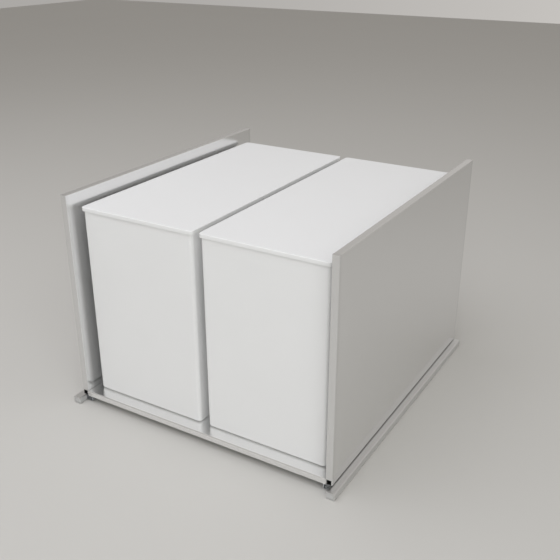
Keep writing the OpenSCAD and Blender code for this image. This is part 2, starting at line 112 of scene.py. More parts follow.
@dataclass(frozen=True)
class Box:
    """The box round a CAD node at rest, in millimetres.

    Attributes:
        low: Its lowest corner.
        high: Its highest corner.
    """

    low: tuple[float, ...]
    high: tuple[float, ...]

    @classmethod
    def of(cls, node: str) -> Box:
        """Return a node's box, to the nearest thousandth."""
        return cls(*(tuple(round(c / MM, 3) for c in corner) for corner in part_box(node)))

    @property
    def size(self) -> tuple[float, ...]:
        """Return its width, length and height."""
        return tuple(high - low for low, high in zip(self.low, self.high))

    @property
    def middle(self) -> tuple[float, ...]:
        """Return its middle."""
        return tuple((low + high) / 2 for low, high in zip(self.low, self.high))

    @property
    def reach(self) -> list[float]:
        """Return how far its two upright faces are from the drawer's middle, nearest first."""
        return sorted((abs(self.low[0]), abs(self.high[0])))


def middles(frame: dict, node: str) -> list[Vector]:
    """Find the middle of each separate solid in a CAD node.

    Args:
        frame: The loaded frame.
        node: The node's name.

    Returns:
        The middles in millimetres, from front to back and then upwards.
    """
    bm = bmesh.new()
    bm.from_mesh(frame["nodes"][node].data)
    bmesh.ops.remove_doubles(bm, verts=bm.verts[:], dist=NEAR * MM)
    found, left = [], dict.fromkeys(bm.verts)
    while left:
        solid = [left.popitem()[0]]
        for vert in solid:
            for edge in vert.link_edges:
                other = edge.other_vert(vert)
                if other in left:
                    del left[other]
                    solid.append(other)
        spans = [[vert.co[axis] for vert in solid] for axis in range(3)]
        found.append(Vector([round((min(s) + max(s)) / 2 / MM, 3) for s in spans]))
    bm.free()
    return sorted(found, key=lambda middle: (middle.y, middle.z))


def linear(code: str) -> tuple[float, float, float, float]:
    """Turn an sRGB hex colour into the linear colour that a shader takes.

    Args:
        code: Six hex digits.

    Returns:
        Red, green and blue in linear light, and an alpha of 1.
    """
    parts = [int(code[i : i + 2], 16) / 255 for i in (0, 2, 4)]
    red, green, blue = (
        c / 12.92 if c <= 0.04045 else ((c + 0.055) / 1.055) ** 2.4 for c in parts
    )
    return red, green, blue, 1.0


def per_mm(size: float) -> float:
    """Return the texture scale whose features measure size millimetres."""
    return 1 / (size * MM)


def add(
    tree: bpy.types.NodeTree,
    kind: str,
    settings: dict[str, object] | None = None,
    links: dict[str | int, bpy.types.NodeSocket] | None = None,
    **values: object,
) -> bpy.types.Node:
    """Add one node with its settings, its own values and its links.

    Args:
        tree: The node tree that takes the node.
        kind: The node's type name.
        settings: Attributes of the node itself.
        links: For an input, the output that feeds it.
        values: For an input, its constant; an underscore stands for a space.

    Returns:
        The new node.
    """
    node = tree.nodes.new(kind)
    for name, value in (settings or {}).items():
        setattr(node, name, value)
    for name, value in values.items():
        node.inputs[name.replace("_", " ")].default_value = value
    for name, socket in (links or {}).items():
        tree.links.new(socket, node.inputs[name])
    return node


@dataclass(frozen=True)
class Finish:
    """A surface finish: two close colours, a spread of gloss and a fine relief.

    Attributes:
        name: The material's name.
        light: The lighter of its two colours.
        dark: The darker of its two colours.
        patch: Size of the colour patches in millimetres.
        gloss: Lowest and highest roughness.
        smudge: Size of the patches of gloss in millimetres.
        grain: Size of the fine relief in millimetres.
        relief: Height of the fine relief in millimetres.
        wave: Size of the slow waves in the surface in millimetres.
        swell: Height of the slow waves in millimetres.
        metallic: One for metal and metal lacquer, otherwise zero.
        stretch: How the pattern is drawn out along x, y and z.
        spread: Part of the noise's range that the spread of gloss takes up.
    """

    name: str
    light: str
    dark: str
    patch: float
    gloss: tuple[float, float]
    smudge: float
    grain: float
    relief: float
    wave: float = 60.0
    swell: float = 0.0
    metallic: float = 0.0
    stretch: tuple[float, float, float] = (1.0, 1.0, 1.0)
    spread: tuple[float, float] = (0.3, 0.7)

    def material(self) -> bpy.types.Material:
        """Return this finish's material, made once."""
        made = bpy.data.materials.get(self.name)
        if made:
            return made
        made = bpy.data.materials.new(self.name)
        made.use_nodes = True
        tree = made.node_tree
        tree.nodes.clear()
        place = add(tree, "ShaderNodeTexCoord").outputs["Object"]
        drawn = add(tree, "ShaderNodeMapping", links={"Vector": place}, Scale=self.stretch)
        at = {"Vector": drawn.outputs[0]}
        cloud = add(tree, "ShaderNodeTexNoise", links=at, Scale=per_mm(self.patch), Detail=3.0)
        colour = add(tree, "ShaderNodeMix", {"data_type": "RGBA"}, {"Factor": cloud.outputs[0]})
        colour.inputs[MIX_A].default_value = linear(self.dark)
        colour.inputs[MIX_B].default_value = linear(self.light)
        smear = add(tree, "ShaderNodeTexNoise", links=at, Scale=per_mm(self.smudge), Detail=4.0)
        gloss = add(
            tree,
            "ShaderNodeMapRange",
            links={"Value": smear.outputs[0]},
            From_Min=self.spread[0],
            From_Max=self.spread[1],
            To_Min=self.gloss[0],
            To_Max=self.gloss[1],
        )
        grit = add(tree, "ShaderNodeTexNoise", links=at, Scale=per_mm(self.grain), Detail=2.0)
        bump = add(
            tree, "ShaderNodeBump", links={"Height": grit.outputs[0]}, Distance=self.relief * MM
        )
        if self.swell:
            slow = add(tree, "ShaderNodeTexNoise", links=at, Scale=per_mm(self.wave), Detail=1.0)
            bump = add(
                tree,
                "ShaderNodeBump",
                links={"Height": slow.outputs[0], "Normal": bump.outputs[0]},
                Distance=self.swell * MM,
            )
        shader = add(
            tree,
            "ShaderNodeBsdfPrincipled",
            links={
                "Base Color": colour.outputs[MIX_RESULT],
                "Roughness": gloss.outputs[0],
                "Normal": bump.outputs[0],
            },
            Metallic=self.metallic,
        )
        add(tree, "ShaderNodeOutputMaterial", links={"Surface": shader.outputs[0]})
        return made


# Polypropylene, injection moulded in a spark-eroded tool: a soft even sheen over a fine grain, and
# walls that are never dead flat. The real grain is near 0.1 mm and is drawn at 0.7 mm to show.
BIN_POLYPROPYLENE = Finish(
    "bin_polypropylene",
    light="ECECEC",
    dark="E9E9E9",
    patch=90,
    gloss=(0.46, 0.54),
    smudge=35,
    grain=0.7,
    relief=0.012,
    wave=70,
    swell=0.12,
)
# The same plastic from a finer tool, rubbed a little smoother where hands and laundry touch it.
LID_POLYPROPYLENE = Finish(
    "lid_polypropylene",
    light="EDEDED",
    dark="EBEBEB",
    patch=110,
    gloss=(0.42, 0.52),
    smudge=28,
    grain=0.8,
    relief=0.01,
    wave=80,
    swell=0.1,
)
# Silver metal lacquer baked on folded steel: flakes under a clear satin skin, so that it mirrors
# what stands close to it, slightly blurred by an orange peel of about 2 mm.
SILVER_LACQUER = Finish(
    "silver_lacquer",
    light="EFEFEF",
    dark="ECECEC",
    patch=1.2,
    gloss=(0.17, 0.21),
    smudge=40,
    grain=2.2,
    relief=0.002,
    wave=120,
    swell=0.05,
    metallic=1.0,
)
# The same lacquer on the tray, dulled a little by the bins that stand and slide on it. Its colour
# is
# painted light: lighter than the sides' silver, to brighten the tray and the back panel. On broad
# metal the gloss stays under 0.27, because a spread across that value shows as specks.
TRAY_LACQUER_PAINTED_LIGHT = Finish(
    "tray_lacquer",
    light="FAFAFA",
    dark="F6F6F6",
    patch=1.2,
    gloss=(0.24, 0.268),
    smudge=30,
    grain=2.4,
    relief=0.0015,
    wave=110,
    swell=0.05,
    metallic=1.0,
)
# The rails' coat is thinner, so the rolled strip's lengthwise lines show through it.
RAIL_LACQUER = Finish(
    "rail_lacquer",
    light="E2E2E2",
    dark="DCDCDC",
    patch=8,
    gloss=(0.32, 0.40),
    smudge=8,
    grain=1.6,
    relief=0.003,
    metallic=1.0,
    stretch=(1.0, 0.05, 1.0),
)
# Bright zinc plating on roll-formed strip: drawn lines along the length and a cool, soft shine.
ZINC_PLATE = Finish(
    "runner_zinc_plate",
    light="CDD0D4",
    dark="B7BABE",
    patch=6,
    gloss=(0.28, 0.42),
    smudge=4,
    grain=0.5,
    relief=0.008,
    metallic=1.0,
    stretch=(1.0, 0.03, 1.0),
)
# Hardened chrome steel, tumbled and polished: mirror bright with the faintest haze.
CHROME_STEEL = Finish(
    "ball_chrome_steel",
    light="E4E5E8",
    dark="DADBDE",
    patch=2,
    gloss=(0.05, 0.12),
    smudge=1.5,
    grain=0.4,
    relief=0.001,
    metallic=1.0,
)
# Acetal, moulded and left in its natural colour: dense, waxy and slightly warm.
ACETAL = Finish(
    "cage_acetal",
    light="ECEAE0",
    dark="E4E2D6",
    patch=14,
    gloss=(0.30, 0.40),
    smudge=8,
    grain=0.5,
    relief=0.01,
)
# Grey glass-filled nylon for the rails' noses: dull, with short fibres near the skin.
NOSE_NYLON = Finish(
    "nose_nylon",
    light="C4C4C3",
    dark="B8B8B7",
    patch=4,
    gloss=(0.42, 0.52),
    smudge=5,
    grain=0.35,
    relief=0.015,
)
# Moulded nitrile rubber: almost black, dry to the touch, with a pale bloom.
BUFFER_RUBBER = Finish(
    "buffer_rubber",
    light="2A2A2B",
    dark="1E1E1F",
    patch=5,
    gloss=(0.66, 0.82),
    smudge=6,
    grain=0.5,
    relief=0.03,
)
# ABS, moulded and sprayed with the sides' silver: the same sheen with a softer skin. Its colour is
# painted shade: a little darker than the sides' silver, to darken the caps' faces.
CAP_LACQUER_PAINTED_SHADE = Finish(
    "cap_lacquer",
    light="EAEAEA",
    dark="E6E6E6",
    patch=1.2,
    gloss=(0.20, 0.26),
    smudge=20,
    grain=1.8,
    relief=0.004,
    metallic=1.0,
)
# Black nylon, moulded: a dark satin that only lights up on its rims.
SOCKET_NYLON = Finish(
    "socket_black_nylon",
    light="101011",
    dark="0A0A0B",
    patch=6,
    gloss=(0.40, 0.52),
    smudge=5,
    grain=0.4,
    relief=0.015,
)
# Nickel-plated steel fasteners, barrel finished: warm, bright and finely scuffed.
NICKEL_STEEL = Finish(
    "fastener_nickel_steel",
    light="D2CFC9",
    dark="BDBAB4",
    patch=2.5,
    gloss=(0.20, 0.34),
    smudge=2,
    grain=0.35,
    relief=0.006,
    metallic=1.0,
)
# Soft polyethylene discs, moulded in natural white: cloudy and matt.
LOCATOR_POLYETHYLENE = Finish(
    "locator_polyethylene",
    light="E2E2DE",
    dark="DADAD6",
    patch=16,
    gloss=(0.46, 0.56),
    smudge=12,
    grain=0.6,
    relief=0.02,
)


@dataclass(frozen=True)
class FloorFinish:
    """Studio paper: a plain matt grey with a fine grain.

    Attributes:
        name: The material's name.
        light: The lighter of its two colours.
        dark: The darker of its two colours.
        cloud: Size of the patches of tone in millimetres.
        fibre: Size of the paper's grain in millimetres.
        relief: Height of the paper's grain in millimetres.
        rough: Its roughness.
    """

    name: str
    light: str
    dark: str
    cloud: float = 700.0
    fibre: float = 1.5
    relief: float = 0.02
    rough: float = 0.75

    def material(self) -> bpy.types.Material:
        """Return the paper's material."""
        made = bpy.data.materials.new(self.name)
        made.use_nodes = True
        tree = made.node_tree
        tree.nodes.clear()
        at = {"Vector": add(tree, "ShaderNodeTexCoord").outputs["Object"]}
        cloud = add(tree, "ShaderNodeTexNoise", links=at, Scale=per_mm(self.cloud), Detail=2.0)
        tone = add(tree, "ShaderNodeMix", {"data_type": "RGBA"}, {"Factor": cloud.outputs[0]})
        tone.inputs[MIX_A].default_value = linear(self.dark)
        tone.inputs[MIX_B].default_value = linear(self.light)
        grit = add(tree, "ShaderNodeTexNoise", links=at, Scale=per_mm(self.fibre), Detail=3.0)
        bump = add(
            tree, "ShaderNodeBump", links={"Height": grit.outputs[0]}, Distance=self.relief * MM
        )
        shader = add(
            tree,
            "ShaderNodeBsdfPrincipled",
            links={"Base Color": tone.outputs[MIX_RESULT], "Normal": bump.outputs[0]},
            Roughness=self.rough,
        )
        add(tree, "ShaderNodeOutputMaterial", links={"Surface": shader.outputs[0]})
        return made


# Seamless paper, matt and even.
FLOOR_PAPER = FloorFinish("floor_paper", light="CDCBC7", dark="CBC9C5")


@dataclass(frozen=True)
class Lamp:
    """A soft square lamp, with its lengths in metres.

    Attributes:
        name: Its name.
        tint: Its colour.
        power: Its power in watts.
        size: Its side.
        place: Where it hangs.
        mirrored: If it shows in glossy surfaces. One that doesn't leaves no glints on folds.
        target: The point that it faces.
    """

    name: str
    tint: str
    power: float
    size: float
    place: tuple[float, float, float]
    mirrored: bool
    target: tuple[float, float, float] = (0.0, 0.0, 0.15)

    def hang(self) -> None:
        """Hang the lamp in its place and turn it to its target."""
        data = bpy.data.lights.new(self.name, "AREA")
        data.color = linear(self.tint)[:3]
        data.energy = self.power
        data.size = self.size
        lamp = bpy.data.objects.new(self.name, data)
        bpy.context.scene.collection.objects.link(lamp)
        lamp.location = self.place
        lamp.visible_glossy = self.mirrored
        aim = Vector(self.target) - lamp.location
        lamp.rotation_euler = aim.to_track_quat("-Z", "Y").to_euler()


@dataclass(frozen=True)
class Studio:
    """Camera, floor, lamps and world.

    Attributes:
        eye: The camera's place in metres.
        yaw: How far the camera looks to the left of +Y, in radians.
        pitch: How far it looks up, in radians.
        lens: Focal length in millimetres.
        sensor: Width of the picture behind the lens in millimetres.
        clip: Distance in metres from which the camera sees.
        lamps: The lamps.
        ambient: Strength of the even light from all round.
        room: Colour of that light.
        sky: Strength of the backdrop that is seen, on its dark left and on its pale right.
        fade: Where the backdrop starts and stops to pale, as the x part of the view's direction.
        reach: How far the floor runs to each side, in metres.
    """

    eye: tuple[float, float, float] = (0.59183, -0.98799, 0.68862)
    yaw: float = 0.53859
    pitch: float = -0.42123
    lens: float = 50.0
    sensor: float = 36.0
    clip: float = 0.01
    lamps: tuple[Lamp, ...] = (
        Lamp("key", "F7F9FF", 30.0, 2.4, (-0.58, -0.83, 2.32), mirrored=False),
        Lamp("fill", "FBFFFF", 46.5, 3.0, (1.92, -2.46, 1.74), mirrored=True),
    )
    ambient: float = 0.405
    room: str = "FFFBF6"
    sky: tuple[float, float] = (0.41, 0.56)
    fade: tuple[float, float] = (-0.65, -0.2)
    reach: float = 5.9

    def build(self) -> None:
        """Make everything around the object."""
        bpy.context.scene.view_settings.view_transform = "Standard"
        self.stand_camera()
        self.lay_floor()
        for lamp in self.lamps:
            lamp.hang()
        self.light_room()
        LOG.info("studio")

    def stand_camera(self) -> None:
        """Stand the camera where the photograph was taken."""
        data = bpy.data.cameras.new("camera")
        data.lens = self.lens
        data.sensor_width = self.sensor
        data.clip_start = self.clip
        data.dof.use_dof = False
        camera = bpy.data.objects.new("camera", data)
        bpy.context.scene.collection.objects.link(camera)
        flat = math.cos(self.pitch)
        forward = Vector(
            (-math.sin(self.yaw) * flat, math.cos(self.yaw) * flat, math.sin(self.pitch))
        )
        across = forward.cross(Vector((0, 0, 1))).normalized()
        turn = Matrix((across, across.cross(forward), -forward)).transposed()
        camera.matrix_world = Matrix.Translation(self.eye) @ turn.to_4x4()
        bpy.context.scene.camera = camera

    def lay_floor(self) -> None:
        """Lay the floor under the object."""
        bm = bmesh.new()
        bmesh.ops.create_grid(bm, x_segments=1, y_segments=1, size=self.reach)
        mesh = bpy.data.meshes.new("floor")
        bm.to_mesh(mesh)
        bm.free()
        floor = bpy.data.objects.new("floor", mesh)
        bpy.context.scene.collection.objects.link(floor)
        mesh.materials.append(FLOOR_PAPER.material())

    def light_room(self) -> None:
        """Light everything evenly, and show a backdrop that pales to the right."""
        world = bpy.data.worlds.new("studio")
        bpy.context.scene.world = world
        world.use_nodes = True
        tree = world.node_tree
        tree.nodes.clear()
        way = add(tree, "ShaderNodeTexCoord").outputs["Generated"]
        split = add(tree, "ShaderNodeSeparateXYZ", links={"Vector": way})
        tone = add(
            tree,
            "ShaderNodeMapRange",
            links={"Value": split.outputs[0]},
            From_Min=self.fade[0],
            From_Max=self.fade[1],
            To_Min=self.sky[0],
            To_Max=self.sky[1],
        )
        tint = linear(self.room)
        even = add(tree, "ShaderNodeBackground", Color=tint, Strength=self.ambient)
        seen = add(tree, "ShaderNodeBackground", links={"Strength": tone.outputs[0]}, Color=tint)
        ray = add(tree, "ShaderNodeLightPath")
        direct = ray.outputs["Is Camera Ray"]
        for other in ("Is Glossy Ray", "Is Transmission Ray"):
            links = {0: direct, 1: ray.outputs[other]}
            direct = add(tree, "ShaderNodeMath", {"operation": "MAXIMUM"}, links).outputs[0]
        room = add(
            tree, "ShaderNodeMixShader", links={0: direct, 1: even.outputs[0], 2: seen.outputs[0]}
        )
        add(tree, "ShaderNodeOutputWorld", links={"Surface": room.outputs[0]})


def dress(frame: dict, node: str, finish: Finish) -> None:
    """Give a CAD node a finish.

    Args:
        frame: The loaded frame.
        node: The node's name.
        finish: What it is made of and how it was finished.
    """
    mesh = frame["nodes"][node].data
    if not mesh.materials:
        mesh.materials.append(None)
    for index in range(len(mesh.materials)):
        mesh.materials[index] = finish.material()
    LOG.info("%s: %s", node, finish.name)


def fit(bm: bmesh.types.BMesh, node: str, body: str, finish: Finish) -> None:
    """Turn a finished bmesh into the piece that stands for a CAD node.

    Args:
        bm: The shape in millimetres, in the shared frame; it is freed.
        node: The CAD node that the piece replaces, which also names it.
        body: The body that it rides on.
        finish: Its finish.
    """
    bmesh.ops.scale(bm, vec=Vector((MM, MM, MM)), verts=bm.verts[:])
    mesh = bpy.data.meshes.new(f"{node}_skin")
    bm.to_mesh(mesh)
    bm.free()
    mesh.shade_smooth()
    mesh.set_sharp_from_angle(angle=math.radians(CREASE))
    piece = bpy.data.objects.new(f"{node}_skin", mesh)
    bpy.context.scene.collection.objects.link(piece)
    mesh.materials.append(finish.material())
    even = piece.modifiers.new("even_shading", "WEIGHTED_NORMAL")
    even.keep_sharp = True
    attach(piece, body)
    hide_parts(node)
    LOG.info("%s: %d faces", node, len(mesh.polygons))


def looks_down(face: bmesh.types.BMFace) -> bool:
    """Tell if a face is level and looks down."""
    return face.normal.z < -0.999


def stands(face: bmesh.types.BMFace) -> bool:
    """Tell if a face is upright."""
    return abs(face.normal.z) < 0.01


def steps(low: float, high: float, count: int) -> list[float]:
    """Return the places that split a length into count equal parts."""
    return [low + (high - low) * i / count for i in range(1, count)]


def block(size: tuple[float, float, float], base: tuple[float, float, float]) -> bmesh.types.BMesh:
    """Start a mesh from a block.

    Args:
        size: Its width, length and height.
        base: The middle of its underside.

    Returns:
        The new mesh.
    """
    bm = bmesh.new()
    bmesh.ops.create_cube(bm, size=1)
    bmesh.ops.translate(bm, vec=Vector((0, 0, 0.5)), verts=bm.verts[:])
    bmesh.ops.scale(bm, vec=Vector(size), verts=bm.verts[:])
    bmesh.ops.translate(bm, vec=Vector(base), verts=bm.verts[:])
    return bm


def uprights(bm: bmesh.types.BMesh) -> list[bmesh.types.BMEdge]:
    """Return the upright edges of a mesh."""
    return [e for e in bm.edges if (e.verts[0].co - e.verts[1].co).to_2d().length < SLACK]


def rim_edges(bm: bmesh.types.BMesh, up: int, height: float) -> list[bmesh.types.BMEdge]:
    """Find the edges round the level faces at a height.

    Args:
        bm: The mesh.
        up: 1 for faces that look up, -1 for faces that look down.
        height: Height of the faces.

    Returns:
        The edges that have such a face on one side only.
    """
    level = {
        face
        for face in bm.faces
        if face.normal.z * up > 0.9 and abs(face.calc_center_median().z - height) < 0.1
    }
    return [edge for edge in bm.edges if len(level.intersection(edge.link_faces)) == 1]


def bevel(bm: bmesh.types.BMesh, edges: Iterable[bmesh.types.BMEdge], r: float, n: int) -> None:
    """Round edges to a radius.

    Args:
        bm: The mesh.
        edges: The edges to round.
        r: The radius.
        n: Faces across the rounding.
    """
    bmesh.ops.bevel(
        bm,
        geom=list(edges),
        offset=r,
        offset_type="OFFSET",
        affect="EDGES",
        segments=n,
        profile=0.5,
        material=-1,
        clamp_overlap=False,
    )


def cut(
    bm: bmesh.types.BMesh,
    axis: int,
    places: Iterable[float],
    only: Callable[[bmesh.types.BMFace], bool] | None = None,
) -> None:
    """Cut faces along planes square to an axis.

    Args:
        bm: The mesh.
        axis: The axis' index.
        places: Where the planes cross it.
        only: Tells which faces are cut, if not all of them.
    """
    for place in places:
        point, normal = Vector(), Vector()
        point[axis], normal[axis] = place, 1
        geom = bm.verts[:] + bm.edges[:] + bm.faces[:]
        if only:
            faces = [f for f in bm.faces if only(f)]
            geom = list(dict.fromkeys(g for f in faces for g in (f, *f.edges, *f.verts)))
        bmesh.ops.bisect_plane(bm, geom=geom, dist=NEAR, plane_co=point, plane_no=normal)


def open_end(bm: bmesh.types.BMesh, up: int) -> None:
    """Take away the faces that look straight up or down.

    Args:
        bm: The mesh.
        up: 1 for the top, -1 for the underside.
    """
    gone = [f for f in bm.faces if f.normal.z * up > 0.99]
    bmesh.ops.delete(bm, geom=gone, context="FACES")


def join(bm: bmesh.types.BMesh, other: bmesh.types.BMesh) -> None:
    """Move one mesh into another.

    Args:
        bm: The mesh that takes it.
        other: The mesh that is moved; it is freed.
    """
    loose = bpy.data.meshes.new("loose")
    other.to_mesh(loose)
    other.free()
    bm.from_mesh(loose)
    bpy.data.meshes.remove(loose)


def turned(
    profile: Iterable[tuple[float, float]],
    place: Matrix,
    shape: Callable[[float, float, float], float] | None = None,
) -> bmesh.types.BMesh:
    """Turn one closed profile round its axis.

    Args:
        profile: Radius and height of each point, from the axis back to the axis.
        place: Where the axis and its foot go.
        shape: Gives a point's new radius from its radius, height and angle.

    Returns:
        The new mesh.
    """
    bm = bmesh.new()
    row = [bm.verts.new((r, 0, h)) for r, h in profile]
    edges = [bm.edges.new(pair) for pair in zip(row, row[1:])]
    bmesh.ops.spin(
        bm,
        geom=row + edges,
        cent=Vector(),
        axis=Vector((0, 0, 1)),
        angle=math.tau,
        steps=24,
        use_merge=True,
    )
    bmesh.ops.remove_doubles(bm, verts=bm.verts[:], dist=NEAR)
    if shape:
        for vert in bm.verts:
            r = vert.co.xy.length
            if r > NEAR:
                vert.co.xy *= shape(r, vert.co.z, math.atan2(vert.co.y, vert.co.x)) / r
    bmesh.ops.recalc_face_normals(bm, faces=bm.faces[:])
    bmesh.ops.transform(bm, matrix=place, verts=bm.verts[:])
    return bm


@dataclass(frozen=True)
class BallRunner:
    """One full-extension ball runner of the drawer, whose own solids show.

    Attributes:
        side: Which side of the drawer it carries.
        finishes: Each of its pieces, named without the side, and that piece's finish.
    """

    side: Side
    finishes: tuple[tuple[str, Finish], ...] = (
        ("rail", RAIL_LACQUER),
        ("middle_rail", ZINC_PLATE),
        ("drawer_rail", ZINC_PLATE),
        ("outer_cage", ACETAL),
        ("inner_cage", ACETAL),
        ("outer_balls", CHROME_STEEL),
        ("inner_balls", CHROME_STEEL),
        ("middle_rail_nose", NOSE_NYLON),
        ("rear_buffer", BUFFER_RUBBER),
    )

    def build(self, frame: dict) -> None:
        """Dress the runner's pieces."""
        for stem, finish in self.finishes:
            dress(frame, f"{stem}_{self.side.word}", finish)


@dataclass(frozen=True)
class DrawerBase:
    """The tray with its locators, and the back panel, whose own solids show.

    Attributes:
        finishes: Each of its pieces and that piece's finish.
    """

    finishes: tuple[tuple[str, Finish], ...] = (
        # The tray's lacquer carries painted light: a lighter colour than the sides' silver.
        ("tray", TRAY_LACQUER_PAINTED_LIGHT),
        ("back_panel", TRAY_LACQUER_PAINTED_LIGHT),
        ("bin_locators", LOCATOR_POLYETHYLENE),
    )

    def build(self, frame: dict) -> None:
        """Dress the base's pieces."""
        for node, finish in self.finishes:
            dress(frame, node, finish)


@dataclass
class LaundryBin:
    """One straight-walled bin with soft corners and dimples in its floor, in millimetres.

    Attributes:
        side: Which side of the drawer it stands on.
        gap: Gap that shows between the tray and its underside.
        wall: Thickness of its walls.
        floor: Thickness of its floor.
        corner: Radius of its uprights.
        corner_faces: Faces across an upright's rounding.
        base: Radius of its bottom edge.
        base_faces: Faces across the bottom edge's rounding.
        rim: Radius of its rim's edges.
        sink: How far the moulded walls sink inwards in the middle.
        strips: Into how many strips the walls are cut across, along and up, to sink smoothly.
        play: Play between a locator and its dimple.
        dimple: Height of a dimple.
        slope: Width of a dimple's slanting edge.
        dimple_cuts: Points added to each side of the square that is rounded into a dimple.
    """

    side: Side
    gap: float = 0.4
    wall: float = 2.0
    floor: float = 2.5
    corner: float = 5.5
    corner_faces: int = 8
    base: float = 3.2
    base_faces: int = 9
    rim: float = 0.5
    sink: float = 0.4
    strips: tuple[int, int, int] = (6, 10, 8)
    play: float = 1.0
    dimple: float = 2.0
    slope: float = 0.5
    dimple_cuts: int = 9

    @cached_property
    def box(self) -> Box:
        """Return the box of the bin that it stands for."""
        return Box.of(f"bin_{self.side.word}")

    @property
    def foot(self) -> float:
        """Return the height of its underside."""
        return self.box.low[2] + self.gap

    def build(self) -> None:
        """Model the bin and fit it."""
        x, y, _ = self.box.middle
        width, length, height = self.box.size
        bm = block((width, length, height - self.gap), (x, y, self.foot))
        open_end(bm, 1)
        bevel(bm, uprights(bm), self.corner, self.corner_faces)
        self.round_base(bm)
        self.press_dimples(bm)
        self.sink_walls(bm)
        self.thicken(bm)
        bevel(bm, rim_edges(bm, 1, self.box.high[2]), self.rim, 2)
        name = f"bin_{self.side.word}"
        fit(bm, name, name, BIN_POLYPROPYLENE)

    def round_base(self, bm: bmesh.types.BMesh) -> None:
        """Round the bottom edge, by drawing the walls' lowest points inwards.

        Args:
            bm: The bin's mesh.
        """
        x, y, _ = self.box.middle
        turns = [math.pi / 2 * i / self.base_faces for i in range(1, self.base_faces + 1)]
        cut(bm, 2, [self.foot + self.base * (1 - math.cos(turn)) for turn in turns])
        for vert in bm.verts:
            below = self.base - (vert.co.z - self.foot)
            if below > 0:
                inwards = self.base - math.sqrt(max(0.0, self.base**2 - below**2))
                vert.co.x -= math.copysign(inwards, vert.co.x - x)
                vert.co.y -= math.copysign(inwards, vert.co.y - y)
        bmesh.ops.recalc_face_normals(bm, faces=bm.faces[:])

    def press_dimples(self, bm: bmesh.types.BMesh) -> None:
        """Press a round dimple up into the floor over each of the bin's two locators.

        Args:
            bm: The bin's mesh.
        """
        x, discs = self.box.middle[0], Box.of("bin_locators")
        disc_r = discs.reach[1] - abs(x)
        radius = disc_r + self.play
        for y in (discs.low[1] + disc_r, discs.high[1] - disc_r):
            middle = Vector((x, y, self.foot))
            cut(bm, 0, (x - radius, x + radius), looks_down)
            cut(bm, 1, (y - radius, y + radius), looks_down)
            # The square round the dimple gets more points, which then move out to its circle.
            square = self.floor_face(bm, middle)
            bmesh.ops.subdivide_edges(
                bm, edges=list(square.edges), cuts=self.dimple_cuts, use_grid_fill=False
            )
            disc = self.floor_face(bm, middle)
            for vert in disc.verts:
                vert.co.xy = middle.xy + (vert.co.xy - middle.xy).normalized() * radius
            bmesh.ops.inset_region(bm, faces=[disc], thickness=self.slope, use_even_offset=True)
            bmesh.ops.translate(bm, vec=Vector((0, 0, self.dimple)), verts=disc.verts[:])

    def floor_face(self, bm: bmesh.types.BMesh, point: Vector) -> bmesh.types.BMFace:
        """Find the floor's face that lies nearest to a point.

        Args:
            bm: The bin's mesh.
            point: The point.

        Returns:
            The face.
        """
        floor = [f for f in bm.faces if looks_down(f)]
        return min(floor, key=lambda f: (f.calc_center_median() - point).length)

    def sink_walls(self, bm: bmesh.types.BMesh) -> None:
        """Cut the walls into strips and let them sink inwards between the corners.

        Args:
            bm: The bin's mesh.
        """
        x, y, _ = self.box.middle
        half_w, half_l = self.box.size[0] / 2, self.box.size[1] / 2
        across, along, up = self.strips
        top = self.box.high[2]
        cut(bm, 2, steps(self.foot + self.base, top, up))
        cut(bm, 0, steps(x - half_w, x + half_w, across), stands)
        cut(bm, 1, steps(y - half_l, y + half_l, along), stands)
        for vert in bm.verts:
            u, v = (vert.co.x - x) / half_w, (vert.co.y - y) / half_l
            rise = (vert.co.z - self.foot) / (top - self.foot)
            depth = self.sink * math.sin(math.pi * min(1, rise))
            if abs(u) > 0.999:
                vert.co.x -= math.copysign(depth * max(0.0, 1 - v * v), u)
            if abs(v) > 0.999:
                vert.co.y -= math.copysign(depth * max(0.0, 1 - u * u), v)

    def thicken(self, bm: bmesh.types.BMesh) -> None:
        """Give the walls and the floor their thickness.

        Args:
            bm: The bin's mesh.
        """
        outer = set(bm.verts)
        bmesh.ops.solidify(bm, geom=bm.faces[:], thickness=self.wall)
        # The floor comes out as thick as the walls, so its upper face is raised.
        for vert in bm.verts:
            over = vert.co.z - self.foot
            if vert not in outer and self.wall / 2 < over < self.wall + SLACK:
                vert.co.z += self.floor - self.wall


